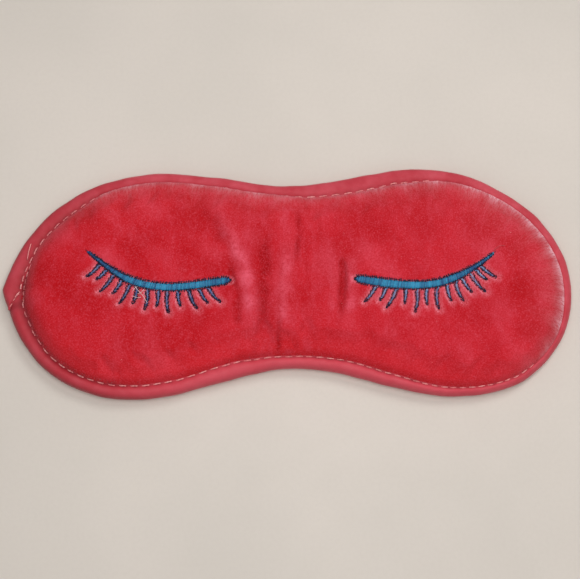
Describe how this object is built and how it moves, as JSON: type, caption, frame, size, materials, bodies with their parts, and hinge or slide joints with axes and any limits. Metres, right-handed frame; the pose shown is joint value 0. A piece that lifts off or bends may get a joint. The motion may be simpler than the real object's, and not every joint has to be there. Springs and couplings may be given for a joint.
{
  "type": "sleep eye mask",
  "caption": "Padded velvet sleep eye mask with folded edge binding, embroidered closed eyes, and an adjustable elastic head strap; folds at the nose bridge.",
  "frame": {"origin": "centre of the footprint, on the flat bottom of the edge binding", "axes": "+X along the mask's width towards the round-ended lobe, +Y towards the forehead edge, +Z out of the velvet face"},
  "size_m": [0.2061, 0.085, 0.0121],
  "materials": {
    "velvet": "short pile velvet, coral red, frosted where the pile leans",
    "foam": "open-cell padding, off-white",
    "interlining": "black light-blocking fabric",
    "lining": "smooth satin lining, red",
    "binding": "satin bias binding, rose red, folded over the edge",
    "binding_thread": "twisted polyester thread, light pink",
    "lid_thread": "glossy rayon embroidery thread, light blue",
    "outline_thread": "glossy rayon embroidery thread, navy",
    "elastic": "ribbed knitted elastic, red",
    "ring_metal": "plated steel wire",
    "slider_plastic": "moulded nylon, dyed red"
  },
  "bodies": {
    "left_half": {"velvet_cover_left": "velvet", "foam_pad_left": "foam", "blackout_interlining_left": "interlining", "satin_lining_left": "lining", "edge_binding_left": "binding", "binding_stitching_left": "binding_thread", "lid_band_left": "lid_thread", "lid_outline_left": "outline_thread", "lashes_left": "outline_thread", "head_strap_left": "elastic", "strap_tack_left": "binding_thread"},
    "right_half": {"velvet_cover_right": "velvet", "foam_pad_right": "foam", "blackout_interlining_right": "interlining", "satin_lining_right": "lining", "edge_binding_right": "binding", "binding_stitching_right": "binding_thread", "lid_band_right": "lid_thread", "lid_outline_right": "outline_thread", "lashes_right": "outline_thread", "head_strap_right": "elastic", "strap_return_run": "elastic", "ring_tab": "elastic", "tab_tack_right": "binding_thread", "strap_ring": "ring_metal"},
    "slider": {"slider_frame": "slider_plastic", "strap_end_wrap": "elastic", "wrap_tack": "binding_thread"}
  },
  "joints": [
    {"name": "bridge_fold", "type": "hinge", "parent": "left_half", "child": "right_half", "pos_m": [0.0025, 0, 0.0124], "axis": [0, -1, 0], "range_deg": [0, 160], "stiffness_Nm_per_rad": 0.003},
    {"name": "slider_slide", "type": "slide", "parent": "right_half", "child": "slider", "axis": [1, 0, 0], "range_m": [0, 0.04], "deforming": ["strap_return_run"]}
  ]
}
